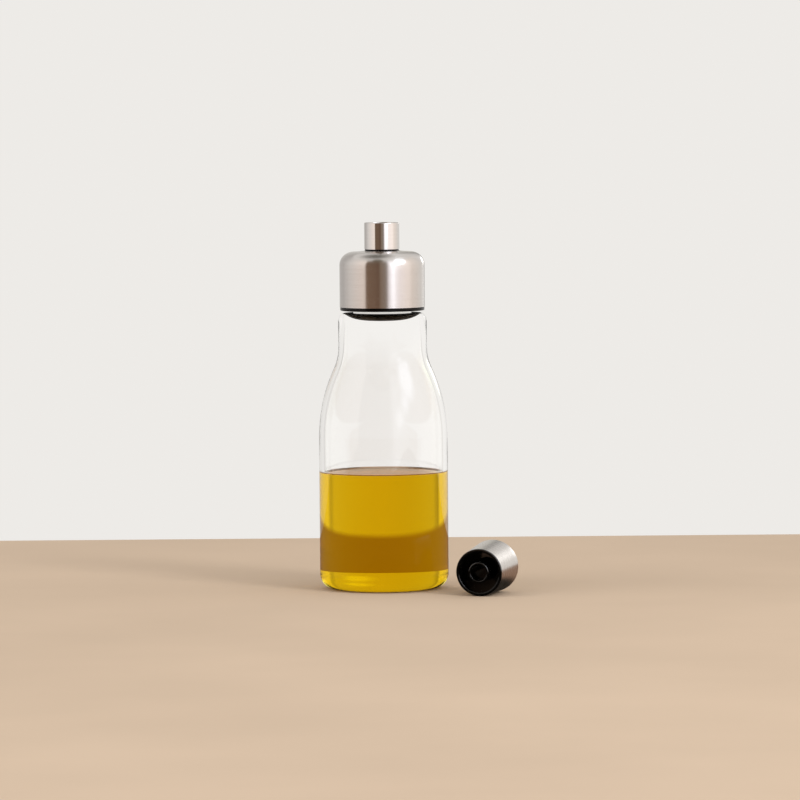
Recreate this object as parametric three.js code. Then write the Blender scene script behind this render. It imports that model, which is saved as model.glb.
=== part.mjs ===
// Oil dispenser bottle: clear glass with a steel pourer, part filled with oil, its cap lying beside it.
// Millimetres, +Z up. The origin is the middle of the bottle's base. The cap's mouth faces -Y.
import * as THREE from 'three';

// Glass bottle
const BODY_RADIUS = 31.0;
const WALL = 2.5;
const BASE_THICKNESS = 2.5;
const HEEL_RADIUS = 7.2;
const INNER_HEEL_RADIUS = 4.7;
const SHOULDER_START = 72.7;
const SHOULDER_RADIUS = 79.6;
const NECK_SWEEP_RADIUS = 24.1;
const SHOULDER_TURN = 25;
const LIP_START = 128.8;
const LIP_RADIUS = 4.6;
const LIP_EDGE_RADIUS = 0.4;

// Oil
const OIL_LEVEL = 56.1;
const FILL_GAP = 0.3;

// Pourer: steel collar and spout over a black core, a pale plug and a black seal in the neck
const COLLAR_RADIUS = 20.5;
const COLLAR_BOTTOM = 135.7;
const COLLAR_TOP = 162.3;
const COLLAR_CROWN = 0.5;
const COLLAR_CORNER = 6.5;
const COLLAR_WALL = 0.8;
const FIT_GAP = 0.2;
const SPOUT_RADIUS = 8.4;
const SPOUT_WALL = 0.8;
const SPOUT_TOP = 176.3;
const SEAM_RADIUS = 8.2;
const SEAM_HEIGHT = 0.7;
const BORE_RADIUS = 5.4;
const LINER_RECESS = 1.1;
const FLANGE_RADIUS = 20.3;
const FLANGE_BOTTOM = 134.0;
const FLANGE_EDGE = 0.5;
const PLUG_RADIUS = 14.0;
const SEAL_TOP = 132.8;
const SEAL_RIM_BOTTOM = 132.1;
const SEAL_BOTTOM = 129.0;
const SEAL_BEND_RADIUS = 14.6;

// Cap, a steel cup that widens to its closed end, lined with black plastic round a hollow post
const CAP_MOUTH_RADIUS = 11.2;
const CAP_END_RADIUS = 12.45;
const CAP_LENGTH = 26.6;
const CAP_CORNER = 1.6;
const CAP_WALL = 0.6;
const CAP_RIM = 1.0;
const CAP_RECESS_RADIUS = 9.8;
const CAP_RECESS_DEPTH = 15.0;
const POST_RADIUS = 5.0;
const POST_BORE_RADIUS = 4.0;
const POST_PROUD = 0.6;
const POST_BORE_DEPTH = 13.0;
const CAP_X = 56.5;
const CAP_MOUTH_Y = -31.1;

// Facets round each turned piece
const SIDES = 48;
const CAP_SIDES = 40;

const at = (radius, height) => new THREE.Vector2(radius, height);

// Points along an arc, in degrees from the outward direction, both ends included.
function arc(centre, radius, from, to, steps) {
  return Array.from({ length: steps + 1 }, (_, i) => {
    const angle = THREE.MathUtils.degToRad(from + ((to - from) * i) / steps);
    return at(centre.x + radius * Math.cos(angle), centre.y + radius * Math.sin(angle));
  });
}

// A piece turned about +Z.
function turned(name, profile, material) {
  const geometry = new THREE.LatheGeometry(profile, SIDES);
  geometry.rotateX(Math.PI / 2);
  const mesh = new THREE.Mesh(geometry, material);
  mesh.name = name;
  return mesh;
}

const closed = (profile) => [...profile, profile[0].clone()];

const shoulderSine = Math.sin(THREE.MathUtils.degToRad(SHOULDER_TURN));
const shoulderCosine = Math.cos(THREE.MathUtils.degToRad(SHOULDER_TURN));
const sweepTotal = SHOULDER_RADIUS + NECK_SWEEP_RADIUS;
const neckRadius = BODY_RADIUS - sweepTotal * (1 - shoulderCosine);
const neckInnerRadius = neckRadius - WALL;
const neckStart = SHOULDER_START + sweepTotal * shoulderSine;
const bodyInnerRadius = BODY_RADIUS - WALL;
const shoulderCentre = at(BODY_RADIUS - SHOULDER_RADIUS, SHOULDER_START);
const sweepCentre = at(neckRadius + NECK_SWEEP_RADIUS, neckStart);
const sweepEnd = 180 + SHOULDER_TURN;

// The lip leans in on one large arc and ends in a small round edge tangent to it and to the inner wall.
function lipProfile() {
  const largeCentre = at(neckRadius - LIP_RADIUS, LIP_START);
  const across = neckInnerRadius + LIP_EDGE_RADIUS - largeCentre.x;
  const along = Math.sqrt((LIP_RADIUS - LIP_EDGE_RADIUS) ** 2 - across ** 2);
  const turn = THREE.MathUtils.radToDeg(Math.atan2(along, across));
  const edgeCentre = at(largeCentre.x + across, largeCentre.y + along);
  return [
    ...arc(largeCentre, LIP_RADIUS, 0, turn, 4),
    ...arc(edgeCentre, LIP_EDGE_RADIUS, turn, 180, 4).slice(1),
  ];
}

// The inner floor and heel, held back from the glass by the given gap.
function innerHeel(gap, steps) {
  const centre = at(bodyInnerRadius - INNER_HEEL_RADIUS, BASE_THICKNESS + INNER_HEEL_RADIUS);
  return [at(0, BASE_THICKNESS + gap), ...arc(centre, INNER_HEEL_RADIUS - gap, -90, 0, steps)];
}

function glassBottle() {
  const outer = [
    at(0, 0),
    ...arc(at(BODY_RADIUS - HEEL_RADIUS, HEEL_RADIUS), HEEL_RADIUS, -90, 0, 6),
    ...arc(shoulderCentre, SHOULDER_RADIUS, 0, SHOULDER_TURN, 7),
    ...arc(sweepCentre, NECK_SWEEP_RADIUS, sweepEnd, 180, 5).slice(1),
    ...lipProfile(),
  ];
  const inner = [
    ...arc(sweepCentre, NECK_SWEEP_RADIUS + WALL, 180, sweepEnd, 5),
    ...arc(shoulderCentre, SHOULDER_RADIUS - WALL, SHOULDER_TURN, 0, 7).slice(1),
    ...innerHeel(0, 5).reverse(),
  ];
  const glass = new THREE.MeshStandardMaterial({
    color: 0xf2f5f2, roughness: 0.03, metalness: 0, transparent: true, opacity: 0.25,
  });
  return turned('glass_bottle', [...outer, ...inner], glass);
}

function oil() {
  const profile = [
    ...innerHeel(FILL_GAP, 5),
    at(bodyInnerRadius - FILL_GAP, OIL_LEVEL),
    at(0, OIL_LEVEL),
  ];
  const golden = new THREE.MeshStandardMaterial({ color: 0xc89c0c, roughness: 0.05, metalness: 0 });
  return turned('oil', profile, golden);
}

// The collar's top and side, from its bottom edge to the hole for the spout, inset by a given amount.
function collarSide(inset, bottom, holeRadius) {
  const corner = COLLAR_CORNER - inset;
  const centre = at(COLLAR_RADIUS - COLLAR_CORNER, COLLAR_TOP - COLLAR_CORNER);
  return [
    at(COLLAR_RADIUS - inset, bottom),
    ...arc(centre, corner, 0, 90, 6),
    at(holeRadius, COLLAR_TOP - inset + COLLAR_CROWN),
  ];
}

function collar() {
  const hole = SPOUT_RADIUS + FIT_GAP;
  const outside = collarSide(0, COLLAR_BOTTOM, hole);
  const inside = collarSide(COLLAR_WALL, COLLAR_BOTTOM, hole).reverse();
  const satin = new THREE.MeshStandardMaterial({ color: 0xc9c4bf, roughness: 0.3, metalness: 1 });
  return turned('collar', closed([...outside, ...inside]), satin);
}

const spoutFoot = COLLAR_TOP + COLLAR_CROWN + SEAM_HEIGHT;

function spout() {
  const inner = SPOUT_RADIUS - SPOUT_WALL;
  const rim = SPOUT_WALL / 2;
  const profile = [
    at(SPOUT_RADIUS, spoutFoot),
    ...arc(at(SPOUT_RADIUS - rim, SPOUT_TOP - rim), rim, 0, 180, 4),
    at(inner, spoutFoot),
  ];
  const polished = new THREE.MeshStandardMaterial({ color: 0xd2cecb, roughness: 0.12, metalness: 1 });
  return turned('spout', closed(profile), polished);
}

// The core fills the collar, shows as a thin black seam below the spout and lines the spout.
function pourerCore() {
  const flangeTop = COLLAR_BOTTOM - FIT_GAP;
  const tube = SPOUT_RADIUS - SPOUT_WALL - FIT_GAP;
  const inset = COLLAR_WALL + FIT_GAP;
  const shoulder = collarSide(inset, flangeTop, tube).slice(0, -1);
  const shelf = COLLAR_TOP - inset;
  const profile = [
    at(BORE_RADIUS, FLANGE_BOTTOM),
    ...arc(at(FLANGE_RADIUS - FLANGE_EDGE, FLANGE_BOTTOM + FLANGE_EDGE), FLANGE_EDGE, -90, 0, 3),
    at(FLANGE_RADIUS, flangeTop),
    ...shoulder,
    at(SEAM_RADIUS, shelf),
    at(SEAM_RADIUS, spoutFoot),
    at(tube, spoutFoot),
    at(tube, SPOUT_TOP - LINER_RECESS),
    at(BORE_RADIUS, SPOUT_TOP - LINER_RECESS),
  ];
  const black = new THREE.MeshStandardMaterial({ color: 0x121110, roughness: 0.3, metalness: 0 });
  return turned('pourer_core', closed(profile), black);
}

function plug() {
  const profile = [
    at(BORE_RADIUS, SEAL_TOP),
    at(PLUG_RADIUS, SEAL_TOP),
    at(PLUG_RADIUS, FLANGE_BOTTOM),
    at(BORE_RADIUS, FLANGE_BOTTOM),
  ];
  const pale = new THREE.MeshStandardMaterial({ color: 0xf0eeea, roughness: 0.4, metalness: 0 });
  return turned('plug', closed(profile), pale);
}

// A soft bung in the mouth, thin at its rim and bulging down to the bore.
function sealRing() {
  const rim = neckInnerRadius - FILL_GAP;
  const underside = new THREE.QuadraticBezierCurve(
    at(BORE_RADIUS, SEAL_BOTTOM),
    at(SEAL_BEND_RADIUS, SEAL_BOTTOM),
    at(rim, SEAL_RIM_BOTTOM),
  );
  const profile = [...underside.getPoints(6), at(rim, SEAL_TOP), at(BORE_RADIUS, SEAL_TOP)];
  const silicone = new THREE.MeshStandardMaterial({ color: 0x1d1c17, roughness: 0.6, metalness: 0 });
  return turned('seal_ring', closed(profile), silicone);
}

const capTaper = (CAP_END_RADIUS - CAP_MOUTH_RADIUS) / CAP_LENGTH;
const capRadius = (depth) => CAP_MOUTH_RADIUS + capTaper * depth;
const facetMiddle = Math.cos(Math.PI / CAP_SIDES);

// A piece turned about the cap's own axis, with the middle of one facet pointing down.
function turnedCap(name, profile, material) {
  const geometry = new THREE.LatheGeometry(profile, CAP_SIDES, Math.PI / CAP_SIDES);
  const mesh = new THREE.Mesh(geometry, material);
  mesh.name = name;
  return mesh;
}

function capShell() {
  const endCentre = at(capRadius(CAP_LENGTH) - CAP_CORNER, CAP_LENGTH - CAP_CORNER);
  const inside = CAP_LENGTH - CAP_WALL;
  const lean = THREE.MathUtils.radToDeg(Math.atan(capTaper));
  const profile = [
    at(capRadius(CAP_RIM) - CAP_WALL, CAP_RIM),
    at(capRadius(CAP_RIM), CAP_RIM),
    ...arc(endCentre, CAP_CORNER, -lean, 90, 4),
    at(0, CAP_LENGTH),
    at(0, inside),
    at(capRadius(inside) - CAP_WALL - CAP_CORNER, inside),
    at(capRadius(inside - CAP_CORNER) - CAP_WALL, inside - CAP_CORNER),
    at(capRadius(CAP_RIM) - CAP_WALL, CAP_RIM),
  ];
  const satin = new THREE.MeshStandardMaterial({ color: 0xbdb8b2, roughness: 0.35, metalness: 1 });
  return turnedCap('cap_shell', profile, satin);
}

function capInsert() {
  const behindRim = CAP_RIM - FILL_GAP;
  const body = (depth) => capRadius(depth) - CAP_WALL - FILL_GAP;
  const back = CAP_LENGTH - CAP_WALL - FILL_GAP;
  const rimEdge = CAP_RIM / 4;
  const profile = [
    at(0, POST_BORE_DEPTH),
    at(POST_BORE_RADIUS, POST_BORE_DEPTH),
    at(POST_BORE_RADIUS, -POST_PROUD),
    at(POST_RADIUS, -POST_PROUD),
    at(POST_RADIUS, CAP_RECESS_DEPTH),
    at(CAP_RECESS_RADIUS, CAP_RECESS_DEPTH),
    at(CAP_RECESS_RADIUS, rimEdge),
    at(CAP_RECESS_RADIUS + rimEdge, 0),
    at(capRadius(0) - rimEdge, 0),
    at(capRadius(rimEdge), rimEdge),
    at(capRadius(behindRim), behindRim),
    at(body(behindRim), behindRim),
    at(body(back - CAP_CORNER), back - CAP_CORNER),
    at(body(back) - CAP_CORNER, back),
    at(0, back),
  ];
  const black = new THREE.MeshStandardMaterial({ color: 0x0c0c0c, roughness: 0.22, metalness: 0 });
  return turnedCap('cap_insert', profile, black);
}

// The cap lies on its side along one facet, so its axis rises a little to the wider closed end.
function lyingCap() {
  const group = new THREE.Group();
  const mouth = capRadius(0) * facetMiddle;
  const rise = Math.atan(capTaper * facetMiddle);
  group.rotation.x = rise;
  group.position.set(CAP_X, CAP_MOUTH_Y - mouth * Math.sin(rise), mouth * Math.cos(rise));
  group.add(capShell(), capInsert());
  return group;
}

const dispenser = new THREE.Group();
dispenser.add(glassBottle(), oil(), pourerCore(), plug(), sealRing(), collar(), spout(), lyingCap());

export default dispenser;
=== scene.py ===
"""Oil dispenser bottle: the looks of the glass, oil, steel pourer and loose cap, on a plain pale stage."""
import math

import bpy
from mathutils import Matrix, Quaternion, Vector


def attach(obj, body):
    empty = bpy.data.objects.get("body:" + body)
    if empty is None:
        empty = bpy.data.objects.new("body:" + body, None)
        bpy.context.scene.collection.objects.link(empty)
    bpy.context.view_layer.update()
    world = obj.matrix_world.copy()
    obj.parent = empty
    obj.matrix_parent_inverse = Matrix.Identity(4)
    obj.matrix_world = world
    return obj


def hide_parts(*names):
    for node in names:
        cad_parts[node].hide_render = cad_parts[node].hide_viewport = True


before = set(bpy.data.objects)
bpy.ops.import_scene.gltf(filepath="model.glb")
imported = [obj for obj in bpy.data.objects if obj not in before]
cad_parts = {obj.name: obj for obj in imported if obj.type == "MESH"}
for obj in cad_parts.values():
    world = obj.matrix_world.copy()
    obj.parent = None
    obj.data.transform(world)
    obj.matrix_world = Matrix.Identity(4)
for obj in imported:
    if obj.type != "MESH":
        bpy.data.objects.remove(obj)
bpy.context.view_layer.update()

MM = 0.001

# Glass bottle, in millimetres
BODY_RADIUS = 31.0
WALL = 2.5
BASE_THICKNESS = 2.5
HEEL_RADIUS = 7.2
INNER_HEEL_RADIUS = 4.7
SHOULDER_START = 72.7
SHOULDER_RADIUS = 79.6
NECK_SWEEP_RADIUS = 24.1
SHOULDER_TURN = 25.0
LIP_START = 128.8
LIP_RADIUS = 4.6
LIP_EDGE_RADIUS = 0.4
PUNT_RADIUS = 21.0
PUNT_HEIGHT = 0.6

# Oil
OIL_LEVEL = 56.1
OIL_INTO_WALL = 0.12
MENISCUS_HEIGHT = 0.5
MENISCUS_WIDTH = 1.6

# Pourer
COLLAR_RADIUS = 20.5
COLLAR_BOTTOM = 135.7
COLLAR_TOP = 162.3
COLLAR_CROWN = 0.5
COLLAR_CORNER = 6.5
COLLAR_WALL = 0.8
FIT_GAP = 0.2
SPOUT_RADIUS = 8.4
SPOUT_WALL = 0.8
SPOUT_TOP = 176.3
SEAM_RADIUS = 8.2
SEAM_HEIGHT = 0.7
BORE_RADIUS = 5.4
LINER_RECESS = 1.1
FLANGE_RADIUS = 20.3
FLANGE_BOTTOM = 134.0
FLANGE_EDGE = 0.5
PLUG_RADIUS = 14.0
SEAL_TOP = 132.8
SEAL_RIM_BOTTOM = 132.1
SEAL_BOTTOM = 129.0
SEAL_BEND_RADIUS = 14.6
SEAL_TO_GLASS = 0.15

# Cap
CAP_MOUTH_RADIUS = 11.2
CAP_END_RADIUS = 12.45
CAP_LENGTH = 26.6
CAP_CORNER = 1.6
CAP_WALL = 0.6
CAP_RIM = 1.0
CAP_RECESS_RADIUS = 9.8
CAP_RECESS_DEPTH = 15.0
CAP_RIM_EDGE = 0.3
CAP_RECESS_FILLET = 0.6
POST_RADIUS = 5.0
POST_BORE_RADIUS = 4.0
POST_INNER_EDGE = 0.2
POST_OUTER_EDGE = 0.5
POST_PROUD = 0.6
POST_BORE_DEPTH = 13.0
CAP_X = 56.5
CAP_MOUTH_Y = -31.1

# Sizes that follow from the ones above
TURN = math.radians(SHOULDER_TURN)
SWEEP_TOTAL = SHOULDER_RADIUS + NECK_SWEEP_RADIUS
NECK_RADIUS = BODY_RADIUS - SWEEP_TOTAL * (1 - math.cos(TURN))
NECK_INNER = NECK_RADIUS - WALL
NECK_START = SHOULDER_START + SWEEP_TOTAL * math.sin(TURN)
BODY_INNER = BODY_RADIUS - WALL
SHOULDER_CENTRE = (BODY_RADIUS - SHOULDER_RADIUS, SHOULDER_START)
SWEEP_CENTRE = (NECK_RADIUS + NECK_SWEEP_RADIUS, NECK_START)
SWEEP_END = 180 + SHOULDER_TURN
SPOUT_FOOT = COLLAR_TOP + COLLAR_CROWN + SEAM_HEIGHT
CAP_TAPER = (CAP_END_RADIUS - CAP_MOUTH_RADIUS) / CAP_LENGTH

# Fineness of the meshes
SEGMENTS = 160
SMALL_SEGMENTS = 112
SHARP_ANGLE = math.radians(32)
ON_AXIS = 1e-6
PUNT_STEPS = 8
HEEL_STEPS = 18
SHOULDER_STEPS = 24
SWEEP_STEPS = 16
INNER_HEEL_STEPS = 16
LIP_STEPS = 14
LIP_EDGE_STEPS = 10
MENISCUS_STEPS = 10
OIL_TOP_STEPS = 5
COLLAR_STEPS = 16
CROWN_STEPS = 6
SEAL_STEPS = 20
SPOUT_RIM_STEPS = 12
CAP_CORNER_STEPS = 12
RING_SIDES = 96
CARD_SIDES = 64

# How glass and oil bend light, with the heights in millimetres between which that changes
GLASS_INDEX = 1.5
LIP_INDEX = 1.04
LIP_FADE_START = 106.0
HEEL_INDEX = 1.46
HEEL_FADE_START = 5.5
HEEL_FADE_END = 7.6
WET_HEEL_FADE = 3.0
WET_SHEEN = 0.15
OIL_INDEX = 1.47
OIL_COLOUR = (0.936, 0.843, 0.0)
OIL_DENSITY = 110.0

# Steels: roughness, the stretch of the marks, how far the shine spreads across them, and two tints to mix
ALONG_Y = (1.0, 500.0, 1.0)
ALONG_Z = (1.0, 1.0, 500.0)
STEELS = {
    "satin_steel": (0.22, ALONG_Z, 0.9, (0.67, 0.64, 0.62), (0.70, 0.67, 0.65)),
    "cap_satin_steel": (0.27, ALONG_Y, 0.0, (0.66, 0.63, 0.60), (0.72, 0.69, 0.66)),
    "polished_steel": (0.08, ALONG_Z, 0.6, (0.70, 0.67, 0.65), (0.73, 0.70, 0.68)),
}
ACROSS_MARKS = 0.25

# Plastics: two tints to mix, roughness, grain, gloss, and a painted glow: emission that makes a part look
# lit though it is no lamp
DARK_TINTS = ((0.001, 0.001, 0.001), (0.002, 0.002, 0.002))
PLASTICS = {
    "black_plastic": (*DARK_TINTS, 0.10, 0.02, 0.9, 0.0),
    "deep_black_plastic": (*DARK_TINTS, 0.15, 0.02, 0.15, 0.0),
    # The pale plastic glows by itself: painted light that makes the ring between flange and seal look
    # brightly lit
    "pale_plastic": ((0.86, 0.84, 0.81), (0.90, 0.88, 0.85), 0.4, 0.05, 0.5, 0.65),
    "black_silicone": ((0.002, 0.002, 0.002), (0.004, 0.004, 0.003), 0.5, 0.1, 0.06, 0.0),
}

# Fine detail of the materials: noise in cycles per metre, depths in metres, and shares of a value
NOISE_RANGE = (0.3, 0.7)
WAVE_NOISE = 38.0
WAVE_STRENGTH = 0.10
WAVE_DEPTH = 0.0006
MARK_NOISE = 9.0
STREAK_NOISE = 2.2
MARK_STRENGTH = 0.02
MARK_DEPTH = 0.00005
STEEL_UNEVEN = (0.8, 1.2)
MOTTLE_NOISE = 240.0
GRAIN_NOISE = 2600.0
GRAIN_DEPTH = 0.00004
PLASTIC_UNEVEN = (0.8, 1.25)
FLOOR_NOISE = 6.0
FLOOR_UNEVEN = (0.96, 1.04)
FLOOR_ROUGHNESS = 0.8

# Camera, found by fitting the photograph's frame of 800 by 800 pixels
FRAME_PIXELS = 800
FOCAL_PIXELS = 5237.0
SENSOR_WIDTH = 36.0
CAMERA_AZIMUTH = math.radians(17.09)
CAMERA_DISTANCE = 2.5198
CAMERA_HEIGHT = 0.24114
CAMERA_PITCH = 0.059648
CAMERA_YAW = 0.0032466
CAMERA_ROLL = -0.0078753

# Stage, measured along the camera's own right and forward directions
FLOOR_DROP = 0.0002
FLOOR_BEHIND = 0.283
FLOOR_FRONT = 2.2
FLOOR_SIDE = 1.6
FLOOR_COLOUR = (0.56, 0.44, 0.335)
FLOOR_REFLECTED = (0.30, 0.18, 0.12)
REFLECTED_FLOOR_REACH = 0.8
FLOOR_THROUGH = (0.47, 0.34, 0.235)
BACKGROUND = (0.85, 0.83, 0.80)

# What the studio looks like in reflections: degrees from the way to the camera, right positive, and colour
SURROUND_RADIUS = 2.75
SURROUND_BOTTOM = -2.0
SURROUND_TOP = 2.6
SURROUND = [
    (-180, (0.70, 0.68, 0.64)), (-150, (0.55, 0.53, 0.51)), (-128, (0.58, 0.56, 0.54)),
    (-98, (0.86, 0.83, 0.80)), (-55, (1.12, 1.00, 0.92)), (-47, (1.08, 0.96, 0.87)),
    (-44, (0.20, 0.13, 0.085)), (-20, (0.19, 0.12, 0.08)), (-8, (0.15, 0.09, 0.06)),
    (-5, (0.26, 0.19, 0.14)), (10, (0.32, 0.27, 0.23)), (13, (0.42, 0.38, 0.36)),
    (19, (1.30, 1.24, 1.28)), (24, (1.45, 1.45, 1.50)), (38, (1.42, 1.37, 1.37)),
    (48, (1.30, 1.20, 1.16)), (75, (1.32, 1.20, 1.12)), (90, (1.06, 0.96, 0.88)),
    (130, (0.84, 0.81, 0.77)), (143, (0.90, 0.88, 0.85)), (164, (0.62, 0.60, 0.58)),
    (169, (0.36, 0.35, 0.33)), (174, (0.38, 0.37, 0.35)), (177, (0.62, 0.60, 0.55)),
    (180, (0.62, 0.60, 0.55)),
]

# Soft-edged oval cards seen in reflections: name, place, half sizes, colour and the share that is even
CARD_AIM = (0.0, 0.0, 0.1)
REFLECTED_CARDS = [
    ("ceiling", (-0.35, 0.1, 2.4), (1.5, 1.4), (0.16, 0.15, 0.13), 0.2),
    ("high_shade", (-0.43, -1.72, 2.02), (0.72, 0.62), (0.17, 0.14, 0.10), 0.6),
    ("high_window", (1.83, -1.19, 1.65), (0.95, 0.95), (4.0, 4.15, 4.6), 0.3),
    ("middle_window", (1.67, -1.73, 1.02), (0.55, 0.55), (3.4, 3.5, 3.9), 0.0),
    ("low_window", (1.35, -2.28, 0.60), (0.60, 0.60), (3.2, 3.26, 3.5), 0.0),
    ("far_window", (1.18, 2.31, 0.56), (0.50, 0.36), (3.7, 3.67, 3.62), 0.4),
    ("shade_by_cap", (0.009, -0.100, -0.00010), (0.120, 0.120), (0.02, 0.015, 0.01), 0.8),
    ("low_behind", (0.0, 2.68, -0.060), (0.85, 0.075), (0.90, 0.88, 0.85), 0.85),
    ("light_under_oil", (0.0, 0.0, -0.00012), (0.050, 0.050), (2.0, 1.7, 0.2), 0.6),
]

# What the studio looks like through the glass, in the same way
THROUGH_RADIUS = 2.9
THROUGH = [
    (-180, (0.90, 0.88, 0.85)), (-165, (0.85, 0.83, 0.80)), (-144, (0.85, 0.83, 0.80)),
    (-140, (0.68, 0.66, 0.63)), (-136.5, (0.58, 0.56, 0.53)), (-133, (1.20, 1.18, 1.12)),
    (-100, (1.15, 1.13, 1.08)), (-60, (0.85, 0.83, 0.80)), (60, (0.85, 0.83, 0.80)),
    (100, (1.15, 1.13, 1.08)), (133, (1.20, 1.18, 1.12)), (137, (0.74, 0.72, 0.68)),
    (140, (0.72, 0.70, 0.66)), (143, (0.90, 0.88, 0.85)), (180, (0.90, 0.88, 0.85)),
]

# After a reflection inside the glass, that ring is tinted where it stands high and straight behind, in mm
THROUGH_REFLECTED = (0.74, 0.55, 0.39)
TINTED_HEIGHTS = (100.0, 180.0)
TINTED_BEHIND = (2700.0, 2860.0)

# Cards seen through the glass, in the same way as the reflected ones
THROUGH_CARDS = [
    ("glow_left", (-2.35, 1.25, 0.75), (0.75, 0.62), (1.1, 1.05, 0.9), 0.2),
    ("glow_right", (2.35, 1.25, 0.75), (0.75, 0.62), (1.5, 1.4, 1.2), 0.2),
    ("glow_behind", (0.80, 2.66, 0.42), (0.76, 0.32), (1.15, 1.22, 1.0), 0.2),
    ("floor_behind", (-0.015, 0.0, -0.00015), (0.45, 0.335), FLOOR_THROUGH, 0.86),
]

# Lamps that only light: name, place, aim, width, height, power and colour
LAMPS = [
    ("key", (1.1, -1.2, 1.1), (0.0, 0.0, 0.08), 0.5, 0.9, 14.0, (1.0, 0.98, 0.95)),
    ("fill", (-1.4, -0.4, 1.3), (0.0, 0.0, 0.05), 1.0, 1.0, 6.0, (1.0, 0.97, 0.94)),
]

# How often light may bounce, and the brightest that bounced light may get
BOUNCES = 24
THROUGH_BOUNCES = 20
MIRROR_BOUNCES = 8
CLEAR_BOUNCES = 8
BOUNCE_LIMIT = 6.0


def arc(centre, radius, start, end, steps):
    """Points along an arc, angles in degrees from the outward direction, both ends included."""
    points = []
    for step in range(steps + 1):
        angle = math.radians(start + (end - start) * step / steps)
        points.append((centre[0] + radius * math.cos(angle), centre[1] + radius * math.sin(angle)))
    return points


def bezier(start, bend, end, steps):
    """Points along a quadratic curve, both ends included."""
    points = []
    for step in range(steps + 1):
        t = step / steps
        weights = ((1 - t) ** 2, 2 * t * (1 - t), t * t)
        points.append(tuple(sum(w * p[i] for w, p in zip(weights, (start, bend, end))) for i in (0, 1)))
    return points


def turned(name, profile, segments=SEGMENTS, place=Matrix.Identity(4), loop=False):
    """A closed mesh turned about +Z from (radius, height) points in millimetres, placed by a matrix."""
    vertices = []
    rings = []
    for radius, height in profile:
        count = segments if radius > ON_AXIS else 1
        ring = []
        for step in range(count):
            angle = 2 * math.pi * step / segments
            spot = Vector((radius * math.cos(angle), radius * math.sin(angle), height)) * MM
            ring.append(len(vertices))
            vertices.append(place @ spot)
        rings.append(ring)
    faces = []
    pairs = list(zip(rings, rings[1:]))
    if loop:
        pairs.append((rings[-1], rings[0]))
    for low, high in pairs:
        for step in range(segments):
            after = (step + 1) % segments
            corners = [low[step % len(low)], low[after % len(low)]]
            corners += [high[after % len(high)], high[step % len(high)]]
            faces.append(list(dict.fromkeys(corners)))
    mesh = bpy.data.meshes.new(name)
    mesh.from_pydata(vertices, [], [face for face in faces if len(face) > 2])
    mesh.shade_smooth()
    mesh.set_sharp_from_angle(angle=SHARP_ANGLE)
    piece = bpy.data.objects.new(name, mesh)
    bpy.context.scene.collection.objects.link(piece)
    return piece


def dress(piece, material, node):
    """Gives a piece its material, hangs it on the root body and hides the CAD node it stands for."""
    piece.data.materials.append(material)
    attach(piece, "root")
    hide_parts(node)


class Shader:
    """A node material with short ways to add nodes and link them."""

    def __init__(self, name):
        self.material = bpy.data.materials.new(name)
        self.material.use_nodes = True
        self.tree = self.material.node_tree
        self.surface = self.tree.nodes["Principled BSDF"]
        self.output = self.tree.nodes["Material Output"]

    def set(self, **values):
        """Sets inputs of the main shader, with an underscore for each space in their names."""
        for socket, value in values.items():
            self.surface.inputs[socket.replace("_", " ")].default_value = value

    def add(self, kind, **settings):
        """A new node, with inputs and settings by name."""
        node = self.tree.nodes.new(kind)
        for key, value in settings.items():
            if key in node.inputs:
                node.inputs[key].default_value = value
            else:
                setattr(node, key, value)
        return node

    def link(self, source, target):
        self.tree.links.new(source, target)

    def noise(self, scale, detail=3.0, stretch=(1.0, 1.0, 1.0)):
        """Noise over the object's own coordinates, scale in cycles per metre before stretching."""
        place = self.add("ShaderNodeTexCoord")
        mapping = self.add("ShaderNodeMapping", Scale=stretch)
        noise = self.add("ShaderNodeTexNoise", Scale=scale, Detail=detail)
        self.link(place.outputs["Object"], mapping.inputs["Vector"])
        self.link(mapping.outputs["Vector"], noise.inputs["Vector"])
        return noise.outputs["Fac"]

    def spread(self, value, low, high):
        """Maps noise from its usual middle range to low and high."""
        node = self.add("ShaderNodeMapRange")
        node.inputs["From Min"].default_value = NOISE_RANGE[0]
        node.inputs["From Max"].default_value = NOISE_RANGE[1]
        node.inputs["To Min"].default_value = low
        node.inputs["To Max"].default_value = high
        self.link(value, node.inputs["Value"])
        return node.outputs["Result"]

    def tint(self, value, low, high):
        """Mixes two colours by a value from 0 to 1."""
        node = self.add("ShaderNodeMix", data_type="RGBA")
        colours = [socket for socket in node.inputs if socket.type == "RGBA"]
        colours[0].default_value = (*low, 1.0)
        colours[1].default_value = (*high, 1.0)
        self.link(value, node.inputs["Factor"])
        return [socket for socket in node.outputs if socket.type == "RGBA"][0]

    def by_height(self, bottom, top, low, high, axis="Z"):
        """A value from low to high between two heights, or places on another axis, in millimetres."""
        place = self.add("ShaderNodeTexCoord")
        split = self.add("ShaderNodeSeparateXYZ")
        span = self.add("ShaderNodeMapRange")
        span.inputs["From Min"].default_value = bottom * MM
        span.inputs["From Max"].default_value = top * MM
        span.inputs["To Min"].default_value = low
        span.inputs["To Max"].default_value = high
        self.link(place.outputs["Object"], split.inputs["Vector"])
        self.link(split.outputs[axis], span.inputs["Value"])
        return span.outputs["Result"]

    def bump(self, height, strength, distance):
        """Raises the surface by a value, as far as the distance in metres."""
        node = self.add("ShaderNodeBump", Strength=strength, Distance=distance)
        self.link(height, node.inputs["Height"])
        self.link(node.outputs["Normal"], self.surface.inputs["Normal"])


def glass_shader(name, index):
    """Clear glass with a faint waviness."""
    shader = Shader(name)
    shader.set(Base_Color=(1.0, 1.0, 1.0, 1.0), Transmission_Weight=1.0, IOR=index, Roughness=0.0)
    shader.bump(shader.noise(WAVE_NOISE, 1.0), WAVE_STRENGTH, WAVE_DEPTH)
    return shader


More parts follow.
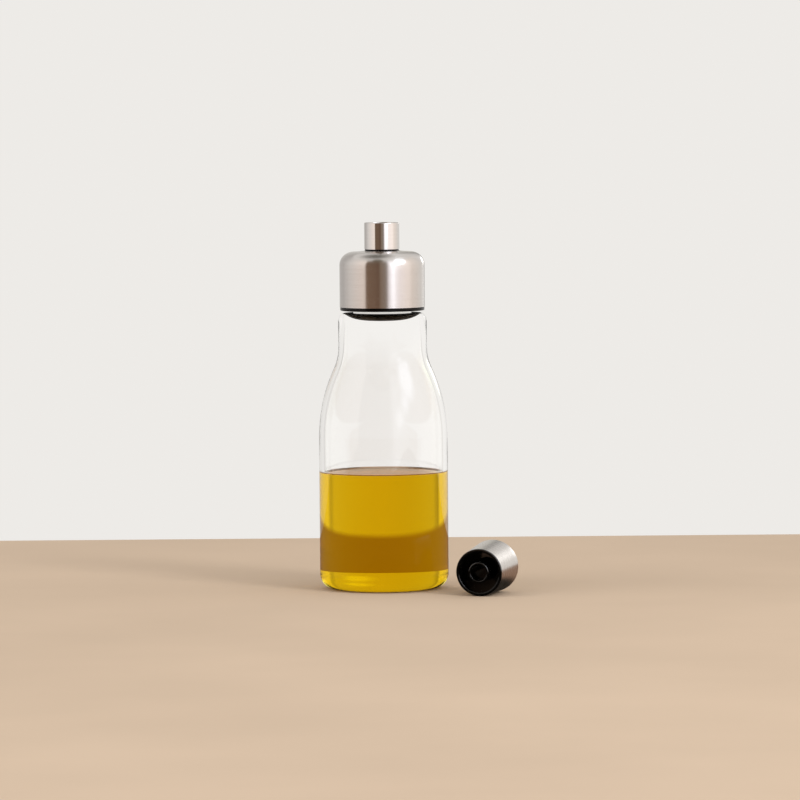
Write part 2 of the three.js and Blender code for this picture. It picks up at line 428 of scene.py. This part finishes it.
def clear_glass():
    """Glass that bends light less at its heel and thin lip, and gleams less over the oil."""
    shader = glass_shader("clear_glass", GLASS_INDEX)
    body = shader.by_height(HEEL_FADE_START, HEEL_FADE_END, HEEL_INDEX, GLASS_INDEX)
    drop = shader.by_height(LIP_FADE_START, LIP_START, 0.0, LIP_INDEX - GLASS_INDEX)
    bend = shader.add("ShaderNodeMath", operation="ADD")
    sheen = shader.by_height(OIL_LEVEL - MENISCUS_WIDTH, OIL_LEVEL, WET_SHEEN, 1.0)
    shader.link(body, bend.inputs[0])
    shader.link(drop, bend.inputs[1])
    shader.link(bend.outputs["Value"], shader.surface.inputs["IOR"])
    shader.link(sheen, shader.surface.inputs["Specular Tint"])
    return shader.material


def wetted_glass():
    """Glass against the oil, which hardly bends light there and not at all round the heel."""
    index = GLASS_INDEX / OIL_INDEX
    shader = glass_shader("wetted_glass", index)
    bend = shader.by_height(HEEL_RADIUS, HEEL_RADIUS + WET_HEEL_FADE, 1.0, index)
    shader.link(bend, shader.surface.inputs["IOR"])
    return shader.material


def oil_material():
    """Oil that bends light only at its top: at its sides and bottom the glass round it does so."""
    shader = Shader("golden_oil")
    shader.set(Base_Color=(1.0, 1.0, 1.0, 1.0), Transmission_Weight=1.0, IOR=OIL_INDEX, Roughness=0.0)
    bend = shader.by_height(OIL_LEVEL - 2 * OIL_INTO_WALL, OIL_LEVEL - OIL_INTO_WALL, 1.0, OIL_INDEX)
    shader.link(bend, shader.surface.inputs["IOR"])
    absorb = shader.add("ShaderNodeVolumeAbsorption", Color=(*OIL_COLOUR, 1.0), Density=OIL_DENSITY)
    shader.link(absorb.outputs["Volume"], shader.output.inputs["Volume"])
    return shader.material


def steel_material(name, roughness, stretch, anisotropy, tint_low, tint_high):
    """Steel brushed round its axis: stretch is large along that axis, so the marks run round it."""
    shader = Shader(name)
    shader.set(Metallic=1.0, Anisotropic=anisotropy, Anisotropic_Rotation=ACROSS_MARKS)
    fine = shader.noise(MARK_NOISE, 4.0, stretch)
    rough = shader.spread(fine, *(roughness * share for share in STEEL_UNEVEN))
    shader.link(rough, shader.surface.inputs["Roughness"])
    broad = shader.spread(shader.noise(STREAK_NOISE, 2.0, stretch), 0.0, 1.0)
    shader.link(shader.tint(broad, tint_low, tint_high), shader.surface.inputs["Base Color"])
    shader.bump(fine, MARK_STRENGTH, MARK_DEPTH)
    return shader.material


def plastic_material(name, low, high, roughness, grain, gloss, glow):
    """Moulded plastic or silicone with a faint uneven gloss, and a painted glow: emission that brightens it
    as if lit.
    """
    shader = Shader(name)
    # The emission is painted light: a glow that brightens the plastic as if lit, not light coming through it
    shader.set(Specular_IOR_Level=gloss, Emission_Color=(*high, 1.0), Emission_Strength=glow)
    mottled = shader.noise(MOTTLE_NOISE, 4.0)
    tint = shader.tint(shader.spread(mottled, 0.0, 1.0), low, high)
    rough = shader.spread(mottled, *(roughness * share for share in PLASTIC_UNEVEN))
    shader.link(tint, shader.surface.inputs["Base Color"])
    shader.link(rough, shader.surface.inputs["Roughness"])
    shader.bump(shader.noise(GRAIN_NOISE, 2.0), grain, GRAIN_DEPTH)
    return shader.material


def lip_profile():
    """The lip leans in on one large arc and ends in a small round edge."""
    large = (NECK_RADIUS - LIP_RADIUS, LIP_START)
    across = NECK_INNER + LIP_EDGE_RADIUS - large[0]
    along = math.sqrt((LIP_RADIUS - LIP_EDGE_RADIUS) ** 2 - across ** 2)
    turn = math.degrees(math.atan2(along, across))
    edge = (large[0] + across, large[1] + along)
    round_edge = arc(edge, LIP_EDGE_RADIUS, turn, 180, LIP_EDGE_STEPS)
    return arc(large, LIP_RADIUS, 0, turn, LIP_STEPS) + round_edge[1:]


def inner_heel(into_wall=0.0):
    """The inner floor and heel, from the middle outwards, let into the glass where asked."""
    centre = (BODY_INNER - INNER_HEEL_RADIUS, BASE_THICKNESS + INNER_HEEL_RADIUS)
    curve = arc(centre, INNER_HEEL_RADIUS + into_wall, -90, 0, INNER_HEEL_STEPS)
    return [(0.0, BASE_THICKNESS - into_wall)] + curve


def straight(start, end, steps):
    """Points between two ends, without either of them."""
    points = []
    for step in range(1, steps):
        share = step / steps
        points.append(tuple(a + (b - a) * share for a, b in zip(start, end)))
    return points


def punt_profile():
    """The shallow hollow under the base, from its middle to where the bottle stands."""
    points = []
    for step in range(PUNT_STEPS + 1):
        share = step / PUNT_STEPS
        points.append((PUNT_RADIUS * share, PUNT_HEIGHT * (1 - share ** 2) ** 2))
    return points


def make_glass():
    """The bottle, with the part of its inside that the oil touches in a material of its own."""
    punt = punt_profile()
    heel = arc((BODY_RADIUS - HEEL_RADIUS, HEEL_RADIUS), HEEL_RADIUS, -90, 0, HEEL_STEPS)
    shoulder = arc(SHOULDER_CENTRE, SHOULDER_RADIUS, 0, SHOULDER_TURN, SHOULDER_STEPS)
    sweep = arc(SWEEP_CENTRE, NECK_SWEEP_RADIUS, SWEEP_END, 180, SWEEP_STEPS)[1:]
    lip = lip_profile()
    outer = punt + heel + straight(heel[-1], shoulder[0], 12) + shoulder + sweep
    outer += straight(sweep[-1], lip[0], 4) + lip
    sweep_in = arc(SWEEP_CENTRE, NECK_SWEEP_RADIUS + WALL, 180, SWEEP_END, SWEEP_STEPS)
    shoulder_in = arc(SHOULDER_CENTRE, SHOULDER_RADIUS - WALL, SHOULDER_TURN, 0, SHOULDER_STEPS)[1:]
    heel_in = inner_heel()[::-1]
    below_lip = (NECK_INNER, LIP_START)
    inner = straight(lip[-1], below_lip, 3) + [below_lip]
    inner += straight(below_lip, sweep_in[0], 4) + sweep_in + shoulder_in
    wet_line = (BODY_INNER, OIL_LEVEL + MENISCUS_HEIGHT)
    inner += straight(shoulder_in[-1], wet_line, 4) + [wet_line]
    inner += straight(wet_line, heel_in[0], 10) + heel_in
    piece = turned("bottle_glass", outer + inner)
    dress(piece, clear_glass(), "glass_bottle")
    piece.data.materials.append(wetted_glass())
    first_inside = len(outer) * SEGMENTS
    for face in piece.data.polygons:
        if face.index >= first_inside and face.center.z < wet_line[1] * MM:
            face.material_index = 1


def make_oil():
    """The oil, let into the glass, with a small rise where its top meets the wall."""
    rim = BODY_INNER + OIL_INTO_WALL
    heel = inner_heel(OIL_INTO_WALL)
    climb = []
    for step in range(MENISCUS_STEPS + 1):
        share = step / MENISCUS_STEPS
        climb.append((rim - MENISCUS_WIDTH * share, OIL_LEVEL + MENISCUS_HEIGHT * (1 - share) ** 3))
    middle = (0.0, OIL_LEVEL)
    flat = straight(climb[-1], middle, OIL_TOP_STEPS) + [middle]
    profile = heel + straight(heel[-1], climb[0], 10) + climb + flat
    piece = turned("golden_oil", profile)
    dress(piece, oil_material(), "oil")


def collar_side(inset, bottom, hole):
    """The collar's side and crown, from its bottom edge to the hole for the spout."""
    centre = (COLLAR_RADIUS - COLLAR_CORNER, COLLAR_TOP - COLLAR_CORNER)
    corner = arc(centre, COLLAR_CORNER - inset, 0, 90, COLLAR_STEPS)
    top = (hole, COLLAR_TOP - inset + COLLAR_CROWN)
    bend = ((hole + corner[-1][0]) / 2, corner[-1][1])
    foot = (COLLAR_RADIUS - inset, bottom)
    crown = bezier(corner[-1], bend, top, CROWN_STEPS)[1:]
    return [foot] + straight(foot, corner[0], 6) + corner + crown


def make_collar(material):
    """The steel collar, an open shell with a hole for the spout."""
    hole = SPOUT_RADIUS + FIT_GAP
    outside = collar_side(0.0, COLLAR_BOTTOM, hole)
    inside = collar_side(COLLAR_WALL, COLLAR_BOTTOM, hole)[::-1]
    piece = turned("steel_collar", outside + inside, loop=True)
    dress(piece, material, "collar")


def make_spout(material):
    """The steel tube of the spout, with a round rim."""
    inner = SPOUT_RADIUS - SPOUT_WALL
    rim = SPOUT_WALL / 2
    crest = arc((SPOUT_RADIUS - rim, SPOUT_TOP - rim), rim, 0, 180, SPOUT_RIM_STEPS)
    profile = [(SPOUT_RADIUS, SPOUT_FOOT)] + crest + [(inner, SPOUT_FOOT)]
    piece = turned("steel_spout", profile, SMALL_SEGMENTS, loop=True)
    dress(piece, material, "spout")


def make_core(material):
    """The black core: a flange under the collar, its filling, the seam and the spout's lining."""
    flange_top = COLLAR_BOTTOM - FIT_GAP
    tube = SPOUT_RADIUS - SPOUT_WALL - FIT_GAP
    inset = COLLAR_WALL + FIT_GAP
    edge = arc((FLANGE_RADIUS - FLANGE_EDGE, FLANGE_BOTTOM + FLANGE_EDGE), FLANGE_EDGE, -90, 0, 8)
    shoulder = collar_side(inset, flange_top, tube)[:-CROWN_STEPS]
    top = SPOUT_TOP - LINER_RECESS
    profile = [(BORE_RADIUS, FLANGE_BOTTOM)] + edge + [(FLANGE_RADIUS, flange_top)] + shoulder
    profile += [(SEAM_RADIUS, COLLAR_TOP - inset), (SEAM_RADIUS, SPOUT_FOOT), (tube, SPOUT_FOOT)]
    profile += [(tube, top), (BORE_RADIUS, top)]
    piece = turned("pourer_core_black", profile, loop=True)
    dress(piece, material, "pourer_core")


def make_plug(material):
    """The pale ring between the flange and the seal."""
    profile = [
        (BORE_RADIUS, SEAL_TOP), (PLUG_RADIUS, SEAL_TOP), (PLUG_RADIUS, FLANGE_BOTTOM),
        (BORE_RADIUS, FLANGE_BOTTOM),
    ]
    piece = turned("pale_plug", profile, SMALL_SEGMENTS, loop=True)
    dress(piece, material, "plug")


def make_seal(material):
    """The black bung in the bottle's mouth, with a bulging underside."""
    rim = NECK_INNER - SEAL_TO_GLASS
    bend = (SEAL_BEND_RADIUS, SEAL_BOTTOM)
    under = bezier((BORE_RADIUS, SEAL_BOTTOM), bend, (rim, SEAL_RIM_BOTTOM), SEAL_STEPS)
    piece = turned("seal_silicone", under + [(rim, SEAL_TOP), (BORE_RADIUS, SEAL_TOP)], loop=True)
    dress(piece, material, "seal_ring")


def cap_radius(depth):
    """The cap's outer radius at a depth behind its mouth."""
    return CAP_MOUTH_RADIUS + CAP_TAPER * depth


def cap_place():
    """Turns a piece made about +Z so that its axis runs back along +Y, lying on the floor."""
    rise = math.atan(CAP_TAPER)
    middle = (CAP_X, CAP_MOUTH_Y - CAP_MOUTH_RADIUS * math.sin(rise), CAP_MOUTH_RADIUS * math.cos(rise))
    lie = Matrix.Rotation(math.radians(-90) + rise, 4, "X")
    return Matrix.Translation(Vector(middle) * MM) @ lie


def make_cap_shell(material):
    """The cap's steel cup, from behind the liner's rim to its rounded closed end."""
    lean = math.degrees(math.atan(CAP_TAPER))
    centre = (cap_radius(CAP_LENGTH) - CAP_CORNER, CAP_LENGTH - CAP_CORNER)
    corner = arc(centre, CAP_CORNER, -lean, 90, CAP_CORNER_STEPS)
    inside = CAP_LENGTH - CAP_WALL
    mouth = (cap_radius(CAP_RIM), CAP_RIM)
    profile = [mouth] + straight(mouth, corner[0], 6) + corner
    profile += [(0.0, CAP_LENGTH), (0.0, inside), (cap_radius(inside) - CAP_WALL - CAP_CORNER, inside)]
    profile += [(cap_radius(inside - CAP_CORNER) - CAP_WALL, inside - CAP_CORNER)]
    profile += [(cap_radius(CAP_RIM) - CAP_WALL, CAP_RIM)]
    piece = turned("cap_steel", profile, SMALL_SEGMENTS, cap_place(), loop=True)
    dress(piece, material, "cap_shell")


def make_cap_insert(material):
    """The cap's black liner: its rim, its recess and the hollow post in the middle."""
    body = cap_radius(CAP_RIM) - CAP_WALL - FIT_GAP
    back = CAP_LENGTH - CAP_WALL - CAP_CORNER
    inner_centre = (POST_BORE_RADIUS + POST_INNER_EDGE, POST_INNER_EDGE - POST_PROUD)
    outer_centre = (POST_RADIUS - POST_OUTER_EDGE, POST_OUTER_EDGE - POST_PROUD)
    tip = arc(inner_centre, POST_INNER_EDGE, 180, 270, 4)
    tip += arc(outer_centre, POST_OUTER_EDGE, 270, 360, 8)
    fillet_centre = (POST_RADIUS + CAP_RECESS_FILLET, CAP_RECESS_DEPTH - CAP_RECESS_FILLET)
    fillet = arc(fillet_centre, CAP_RECESS_FILLET, 180, 90, 4)
    lip_in = arc((CAP_RECESS_RADIUS + CAP_RIM_EDGE, CAP_RIM_EDGE), CAP_RIM_EDGE, 180, 270, 5)
    lip_out = arc((cap_radius(0) - CAP_RIM_EDGE, CAP_RIM_EDGE), CAP_RIM_EDGE, 270, 360, 5)
    profile = [(0.0, POST_BORE_DEPTH), (POST_BORE_RADIUS, POST_BORE_DEPTH)] + tip + fillet
    profile += [(CAP_RECESS_RADIUS, CAP_RECESS_DEPTH)] + lip_in + lip_out
    profile += [(cap_radius(CAP_RIM), CAP_RIM), (body, CAP_RIM), (body, back), (0.0, back)]
    piece = turned("cap_liner", profile, SMALL_SEGMENTS, cap_place())
    dress(piece, material, "cap_insert")


def camera_axes():
    """The camera's level right and forward directions in the row's frame."""
    right = Vector((math.cos(CAMERA_AZIMUTH), math.sin(CAMERA_AZIMUTH), 0.0))
    forward = Vector((-math.sin(CAMERA_AZIMUTH), math.cos(CAMERA_AZIMUTH), 0.0))
    return right, forward


def from_camera(side, ahead, height):
    """A point by its distance to the right of the bottle, behind it and above the floor."""
    right, forward = camera_axes()
    return right * side + forward * ahead + Vector((0.0, 0.0, height))


def add_camera():
    """The photograph's camera, turned by its yaw, pitch and roll."""
    right, forward = camera_axes()
    level = forward * math.cos(CAMERA_YAW) + right * math.sin(CAMERA_YAW)
    view = level * math.cos(CAMERA_PITCH) - Vector((0.0, 0.0, 1.0)) * math.sin(CAMERA_PITCH)
    side = view.cross(Vector((0.0, 0.0, 1.0))).normalized()
    up = side.cross(view)
    rolled_side = side * math.cos(CAMERA_ROLL) + up * math.sin(CAMERA_ROLL)
    rolled_up = up * math.cos(CAMERA_ROLL) - side * math.sin(CAMERA_ROLL)
    data = bpy.data.cameras.new("camera")
    data.sensor_width = SENSOR_WIDTH
    data.lens = FOCAL_PIXELS / FRAME_PIXELS * SENSOR_WIDTH
    camera = bpy.data.objects.new("camera", data)
    turn = Matrix((rolled_side, rolled_up, -view)).transposed().to_4x4()
    camera.matrix_world = Matrix.Translation(from_camera(0.0, -CAMERA_DISTANCE, CAMERA_HEIGHT)) @ turn
    bpy.context.scene.collection.objects.link(camera)
    bpy.context.scene.camera = camera


def sheet(name, corners, material):
    """A flat stage sheet with the given corners."""
    mesh = bpy.data.meshes.new(name)
    mesh.from_pydata(corners, [], [tuple(range(len(corners)))])
    mesh.materials.append(material)
    thing = bpy.data.objects.new(name, mesh)
    bpy.context.scene.collection.objects.link(thing)
    return thing


def even_glow(name, colour):
    """A material of one even colour that needs no light."""
    shader = Shader(name)
    glow = shader.add("ShaderNodeEmission", Color=(*colour, 1.0), Strength=1.0)
    shader.link(glow.outputs["Emission"], shader.output.inputs["Surface"])
    return shader.material


def floor_corners(reach, front, behind=FLOOR_BEHIND):
    """The corners of a level sheet, as far to each side, to the front and behind the bottle as given."""
    places = ((-reach, -front), (reach, -front), (reach, behind), (-reach, behind))
    return [from_camera(side, ahead, -FLOOR_DROP) for side, ahead in places]


def add_floor():
    """A plain floor, a darker one seen in reflections, and the front part again as seen through glass."""
    shader = Shader("pale_floor")
    low, high = (tuple(channel * share for channel in FLOOR_COLOUR) for share in FLOOR_UNEVEN)
    mottled = shader.spread(shader.noise(FLOOR_NOISE, 3.0), 0.0, 1.0)
    shader.link(shader.tint(mottled, low, high), shader.surface.inputs["Base Color"])
    shader.set(Roughness=FLOOR_ROUGHNESS, Specular_IOR_Level=0.0)
    floor = sheet("floor", floor_corners(FLOOR_SIDE, FLOOR_FRONT), shader.material)
    floor.visible_transmission = False
    floor.visible_glossy = False
    corners = floor_corners(REFLECTED_FLOOR_REACH, REFLECTED_FLOOR_REACH)
    only_reflected(sheet("floor_reflected", corners, even_glow("floor_reflected", FLOOR_REFLECTED)))
    corners = floor_corners(FLOOR_SIDE, FLOOR_FRONT, -FLOOR_BEHIND)
    only_through(sheet("floor_in_front", corners, even_glow("floor_in_front", FLOOR_THROUGH)))


def only_reflected(thing):
    """Leaves a stage piece to be seen in reflections alone."""
    thing.visible_camera = False
    thing.visible_transmission = False
    thing.visible_diffuse = False
    thing.visible_shadow = False


def only_through(thing):
    """Leaves a stage piece to be seen through glass alone."""
    only_reflected(thing)
    thing.visible_glossy = False
    thing.visible_transmission = True


def share_of_turn(shader):
    """The angle round the bottle as a share of a whole turn, half of it straight in front."""
    place = shader.add("ShaderNodeTexCoord")
    split = shader.add("ShaderNodeSeparateXYZ")
    front = shader.add("ShaderNodeMath", operation="MULTIPLY")
    front.inputs[1].default_value = -1.0
    angle = shader.add("ShaderNodeMath", operation="ARCTAN2")
    share = shader.add("ShaderNodeMapRange")
    share.inputs["From Min"].default_value = -math.pi
    share.inputs["From Max"].default_value = math.pi
    shader.link(place.outputs["Object"], split.inputs["Vector"])
    shader.link(split.outputs["Y"], front.inputs[0])
    shader.link(split.outputs["X"], angle.inputs[0])
    shader.link(front.outputs["Value"], angle.inputs[1])
    shader.link(angle.outputs["Value"], share.inputs["Value"])
    return share.outputs["Result"]


def tinted_share(shader):
    """How much of the ring's tint shows: none before a reflection, and none low down or away from behind."""
    path = shader.add("ShaderNodeLightPath")
    part = path.outputs["Glossy Depth"]
    high_up = shader.by_height(*TINTED_HEIGHTS, 0.0, 1.0)
    behind = shader.by_height(*TINTED_BEHIND, 0.0, 1.0, "Y")
    for limit in (high_up, behind):
        narrower = shader.add("ShaderNodeMath", operation="MULTIPLY", use_clamp=True)
        shader.link(part, narrower.inputs[0])
        shader.link(limit, narrower.inputs[1])
        part = narrower.outputs["Value"]
    return part


def ring_material(name, colours, reflected):
    """A glow whose colour changes with the angle round the bottle, and which is tinted once reflected."""
    shader = Shader(name)
    ramp = shader.add("ShaderNodeValToRGB")
    stops = ramp.color_ramp.elements
    stops.remove(stops[1])
    for index, (degrees, colour) in enumerate(colours):
        stop = stops.new((degrees + 180) / 360) if index else stops[0]
        stop.color = (*colour, 1.0)
    shader.link(share_of_turn(shader), ramp.inputs["Fac"])
    tint = shader.tint(tinted_share(shader), (1.0, 1.0, 1.0), reflected)
    both = shader.add("ShaderNodeVectorMath", operation="MULTIPLY")
    glow = shader.add("ShaderNodeEmission", Strength=1.0)
    shader.link(ramp.outputs["Color"], both.inputs[0])
    shader.link(tint, both.inputs[1])
    shader.link(both.outputs["Vector"], glow.inputs["Color"])
    shader.link(glow.outputs["Emission"], shader.output.inputs["Surface"])
    return shader.material


def add_ring(name, radius, colours, reflected=(1.0, 1.0, 1.0)):
    """A wide glowing ring round the bottle."""
    corners = []
    for height in (SURROUND_BOTTOM, SURROUND_TOP):
        for step in range(RING_SIDES):
            turn = 2 * math.pi * step / RING_SIDES
            corners.append((math.cos(turn) * radius, math.sin(turn) * radius, height))
    faces = []
    for step in range(RING_SIDES):
        after = (step + 1) % RING_SIDES
        faces.append((step, after, RING_SIDES + after, RING_SIDES + step))
    mesh = bpy.data.meshes.new(name)
    mesh.from_pydata(corners, [], faces)
    mesh.materials.append(ring_material(name, colours, reflected))
    ring = bpy.data.objects.new(name, mesh)
    ring.rotation_euler.z = CAMERA_AZIMUTH
    bpy.context.scene.collection.objects.link(ring)
    return ring


def add_surround():
    """A ring and cards seen only in reflections, and others seen only through the glass."""
    only_reflected(add_ring("surround", SURROUND_RADIUS, SURROUND))
    only_through(add_ring("seen_through", THROUGH_RADIUS, THROUGH, THROUGH_REFLECTED))
    for card in REFLECTED_CARDS:
        only_reflected(add_card(*card))
    for card in THROUGH_CARDS:
        only_through(add_card(*card))


def card_material(name, colour, core):
    """A glow that is even over the middle of a round card and fades out to its edge."""
    shader = Shader(name)
    place = shader.add("ShaderNodeTexCoord")
    reach = shader.add("ShaderNodeVectorMath", operation="LENGTH")
    fade = shader.add("ShaderNodeMapRange", interpolation_type="SMOOTHSTEP")
    fade.inputs["From Min"].default_value = 1.0
    fade.inputs["From Max"].default_value = core
    clear = shader.add("ShaderNodeBsdfTransparent")
    glow = shader.add("ShaderNodeEmission", Color=(*colour, 1.0), Strength=1.0)
    mix = shader.add("ShaderNodeMixShader")
    shader.link(place.outputs["Object"], reach.inputs[0])
    shader.link(reach.outputs["Value"], fade.inputs["Value"])
    shader.link(fade.outputs["Result"], mix.inputs[0])
    shader.link(clear.outputs["BSDF"], mix.inputs[1])
    shader.link(glow.outputs["Emission"], mix.inputs[2])
    shader.link(mix.outputs["Shader"], shader.output.inputs["Surface"])
    return shader.material


def add_card(name, place, size, colour, core):
    """An oval card that faces the bottle, or upwards where it lies on the floor."""
    turns = [2 * math.pi * step / CARD_SIDES for step in range(CARD_SIDES)]
    corners = [(math.cos(turn), math.sin(turn), 0.0) for turn in turns]
    card = sheet(name, corners, card_material(name, colour, core))
    spot = from_camera(*place)
    if abs(spot.z) < FLOOR_DROP:
        facing = Quaternion((0.0, 0.0, 1.0), CAMERA_AZIMUTH)
    else:
        facing = (from_camera(*CARD_AIM) - spot).to_track_quat("Z", "Y")
    card.matrix_world = Matrix.LocRotScale(spot, facing, Vector((*size, 1.0)))
    return card


def add_light(name, place, aim, width, height, power, colour):
    """A soft rectangular lamp that only lights: it isn't seen itself."""
    data = bpy.data.lights.new(name, "AREA")
    data.shape = "RECTANGLE"
    data.size = width
    data.size_y = height
    data.energy = power
    data.color = colour
    lamp = bpy.data.objects.new(name, data)
    lamp.location = from_camera(*place)
    way = from_camera(*aim) - lamp.location
    lamp.rotation_euler = way.to_track_quat("-Z", "Y").to_euler()
    lamp.visible_camera = False
    lamp.visible_glossy = False
    lamp.visible_transmission = False
    bpy.context.scene.collection.objects.link(lamp)


def add_world():
    """The even background and the way the picture is worked out."""
    world = bpy.data.worlds.new("studio")
    world.use_nodes = True
    background = world.node_tree.nodes["Background"]
    background.inputs["Color"].default_value = (*BACKGROUND, 1.0)
    background.inputs["Strength"].default_value = 1.0
    scene = bpy.context.scene
    scene.world = world
    scene.view_settings.view_transform = "Standard"
    scene.view_settings.look = "None"
    scene.cycles.max_bounces = BOUNCES
    scene.cycles.transmission_bounces = THROUGH_BOUNCES
    scene.cycles.glossy_bounces = MIRROR_BOUNCES
    scene.cycles.transparent_max_bounces = CLEAR_BOUNCES
    scene.cycles.sample_clamp_indirect = BOUNCE_LIMIT
    scene.cycles.use_denoising = True


def build():
    """The camera, the pieces and the studio."""
    add_camera()
    steel = {name: steel_material(name, *look) for name, look in STEELS.items()}
    plastic = {name: plastic_material(name, *look) for name, look in PLASTICS.items()}
    make_glass()
    make_oil()
    make_collar(steel["satin_steel"])
    make_spout(steel["polished_steel"])
    make_core(plastic["deep_black_plastic"])
    # The pale ring's brightness is partly a painted glow from its material's emission
    make_plug(plastic["pale_plastic"])
    make_seal(plastic["black_silicone"])
    make_cap_shell(steel["cap_satin_steel"])
    make_cap_insert(plastic["black_plastic"])
    add_floor()
    add_surround()
    for lamp in LAMPS:
        add_light(*lamp)
    add_world()


build()
